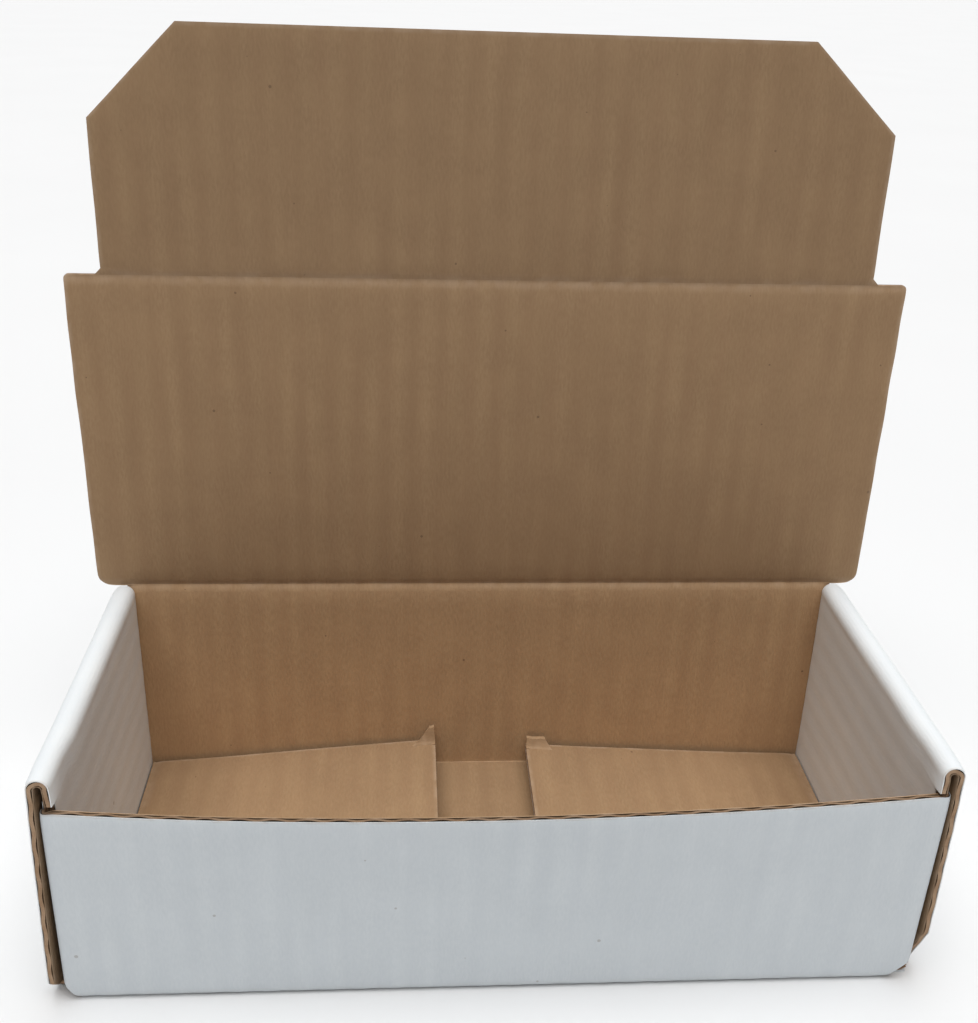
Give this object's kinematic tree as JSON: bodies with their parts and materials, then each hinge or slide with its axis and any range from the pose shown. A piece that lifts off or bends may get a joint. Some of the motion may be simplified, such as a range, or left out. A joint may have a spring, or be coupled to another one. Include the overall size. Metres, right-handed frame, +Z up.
{
  "type": "corrugated mailer carton",
  "caption": "Open rectangular carton of white-lined corrugated board with rolled double side walls, a hinged lid with a tuck flap, and loose floor flaps.",
  "frame": {"origin": "middle of the base, in the plane that the carton stands on", "axes": "+X along the front to the right, +Y from the front to the back, +Z up"},
  "size_m": [0.192, 0.0814, 0.1892],
  "materials": {
    "white_liner": "matt bleached liner",
    "kraft_liner": "matt unbleached kraft liner",
    "fluting": "rough recycled fluting paper",
    "crease_board": "crushed kraft board"
  },
  "bodies": {
    "tray": {"back_wall_fluting": "fluting", "back_wall_inner_liner": "kraft_liner", "back_wall_outer_liner": "white_liner", "floor_fluting": "fluting", "floor_inner_liner": "kraft_liner", "floor_outer_liner": "white_liner", "front_wall_fluting": "fluting", "front_wall_inner_liner": "kraft_liner", "front_wall_outer_liner": "white_liner", "left_back_dust_flap_fluting": "fluting", "left_back_dust_flap_inner_liner": "kraft_liner", "left_back_dust_flap_outer_liner": "white_liner", "left_floor_crease": "crease_board", "left_front_dust_flap_fluting": "fluting", "left_front_dust_flap_inner_liner": "kraft_liner", "left_front_dust_flap_outer_liner": "white_liner", "left_inner_wall_fluting": "fluting", "left_inner_wall_inner_liner": "kraft_liner", "left_inner_wall_outer_liner": "white_liner", "left_outer_wall_fluting": "fluting", "left_outer_wall_inner_liner": "kraft_liner", "left_outer_wall_outer_liner": "white_liner", "left_top_fold_fluting": "fluting", "left_top_fold_inner_liner": "kraft_liner", "left_top_fold_outer_liner": "white_liner", "lid_crease": "crease_board", "right_back_dust_flap_fluting": "fluting", "right_back_dust_flap_inner_liner": "kraft_liner", "right_back_dust_flap_outer_liner": "white_liner", "right_floor_crease": "crease_board", "right_front_dust_flap_fluting": "fluting", "right_front_dust_flap_inner_liner": "kraft_liner", "right_front_dust_flap_outer_liner": "white_liner", "right_inner_wall_fluting": "fluting", "right_inner_wall_inner_liner": "kraft_liner", "right_inner_wall_outer_liner": "white_liner", "right_outer_wall_fluting": "fluting", "right_outer_wall_inner_liner": "kraft_liner", "right_outer_wall_outer_liner": "white_liner", "right_top_fold_fluting": "fluting", "right_top_fold_inner_liner": "kraft_liner", "right_top_fold_outer_liner": "white_liner"},
    "lid": {"lid_fluting": "fluting", "lid_inner_liner": "kraft_liner", "lid_outer_liner": "white_liner", "tuck_crease": "crease_board"},
    "tuck_flap": {"tuck_flap_fluting": "fluting", "tuck_flap_inner_liner": "kraft_liner", "tuck_flap_outer_liner": "white_liner"},
    "left_floor_flap": {"left_flap_ear": "kraft_liner", "left_floor_flap_fluting": "fluting", "left_floor_flap_inner_liner": "kraft_liner", "left_floor_flap_outer_liner": "white_liner"},
    "right_floor_flap": {"right_flap_ear": "kraft_liner", "right_floor_flap_fluting": "fluting", "right_floor_flap_inner_liner": "kraft_liner", "right_floor_flap_outer_liner": "white_liner"}
  },
  "joints": [
    {"name": "lid_hinge", "type": "hinge", "parent": "tray", "child": "lid", "pos_m": [0, 0.0392, 0.0594], "axis": [1, 0, 0], "range_deg": [-104.5, 90.5]},
    {"name": "tuck_fold", "type": "hinge", "parent": "lid", "child": "tuck_flap", "pos_m": [0, 0.03986, 0.1349], "axis": [1, 0, 0], "range_deg": [-21, 89.7]},
    {"name": "left_flap_lift", "type": "hinge", "parent": "tray", "child": "left_floor_flap", "pos_m": [-0.0869, 0, 0.00365], "axis": [0, -1, 0], "range_deg": [-4.4, 30.6]},
    {"name": "right_flap_lift", "type": "hinge", "parent": "tray", "child": "right_floor_flap", "pos_m": [0.0869, 0, 0.00365], "axis": [0, 1, 0], "range_deg": [-3.1, 31.9]}
  ]
}
